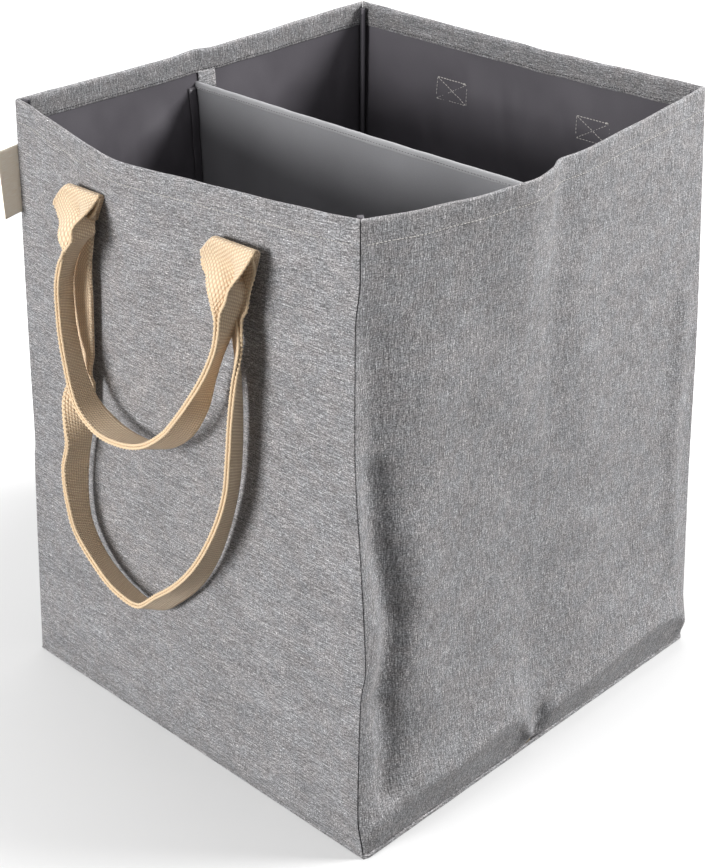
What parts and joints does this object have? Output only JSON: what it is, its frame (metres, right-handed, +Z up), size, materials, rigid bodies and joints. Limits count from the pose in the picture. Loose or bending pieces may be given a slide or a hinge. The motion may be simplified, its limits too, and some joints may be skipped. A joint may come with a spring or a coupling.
{
  "type": "laundry hamper",
  "caption": "Square soft-sided fabric laundry hamper divided into bins, open at the top, with looped webbing carry handles.",
  "frame": {"origin": "centre of the base's underside, on the floor", "axes": "+Z up to the rim; -Y out of the front handle wall; +X out of the right side wall, along the divider"},
  "size_m": [0.4121, 0.4842, 0.505],
  "materials": {
    "outer_cloth": "matt, heathered plain weave",
    "lining_cloth": "smooth coated cloth with a soft sheen",
    "divider_cloth": "smooth coated cloth with a soft sheen",
    "seam_binding": "matt narrow tape",
    "webbing": "matt cotton herringbone webbing",
    "thread": "matt sewing thread",
    "label_cloth": "matt woven tape, blank",
    "base_board": "matt sheet"
  },
  "bodies": {
    "bag": {"outer_wall_front": "outer_cloth", "lining_front": "lining_cloth", "rim_hem_front": "outer_cloth", "outer_wall_right": "outer_cloth", "lining_right": "lining_cloth", "rim_hem_right": "outer_cloth", "outer_wall_back": "outer_cloth", "lining_back": "lining_cloth", "rim_hem_back": "outer_cloth", "outer_wall_left": "outer_cloth", "lining_left": "lining_cloth", "rim_hem_left": "outer_cloth", "outer_base": "outer_cloth", "base_board_front_bin": "base_board", "lining_base_front_bin": "lining_cloth", "base_board_back_bin": "base_board", "lining_base_back_bin": "lining_cloth", "divider_panel": "divider_cloth", "divider_top_hem": "divider_cloth", "divider_seam_left": "seam_binding", "divider_patch_left": "outer_cloth", "divider_foot_tack_left": "thread", "divider_seam_right": "seam_binding", "divider_patch_right": "outer_cloth", "divider_foot_tack_right": "thread", "corner_binding_front_left": "seam_binding", "corner_binding_front_right": "seam_binding", "corner_binding_back_right": "seam_binding", "corner_binding_back_left": "seam_binding", "base_seam_piping": "outer_cloth", "side_label": "label_cloth", "front_short_handle_end_left": "webbing", "front_long_handle_end_left": "webbing", "front_box_stitch_left": "thread", "front_short_handle_end_right": "webbing", "front_long_handle_end_right": "webbing", "front_box_stitch_right": "thread", "back_short_handle_end_left": "webbing", "back_long_handle_end_left": "webbing", "back_box_stitch_left": "thread", "back_short_handle_end_right": "webbing", "back_long_handle_end_right": "webbing", "back_box_stitch_right": "thread"},
    "front_long_handle": {"front_long_handle": "webbing"},
    "front_short_handle": {"front_short_handle": "webbing"},
    "back_long_handle": {"back_long_handle": "webbing"},
    "back_short_handle": {"back_short_handle": "webbing"}
  },
  "joints": [
    {"name": "front_long_handle_swing", "type": "hinge", "parent": "bag", "child": "front_long_handle", "pos_m": [0, -0.21481, 0.465], "axis": [-0.9994, -0.0353, 0], "range_deg": [0, 120]},
    {"name": "front_short_handle_swing", "type": "hinge", "parent": "bag", "child": "front_short_handle", "pos_m": [0, -0.21481, 0.465], "axis": [-0.9994, -0.0353, 0], "range_deg": [0, 120]},
    {"name": "back_long_handle_swing", "type": "hinge", "parent": "bag", "child": "back_long_handle", "pos_m": [0, 0.20182, 0.465], "axis": [1, 0, 0], "range_deg": [0, 120]},
    {"name": "back_short_handle_swing", "type": "hinge", "parent": "bag", "child": "back_short_handle", "pos_m": [0, 0.20182, 0.465], "axis": [1, 0, 0], "range_deg": [0, 120]}
  ],
  "couplings": [
    {"joint": "front_short_handle_swing", "follows": "front_long_handle_swing", "ratio": 1},
    {"joint": "back_short_handle_swing", "follows": "back_long_handle_swing", "ratio": 1}
  ]
}
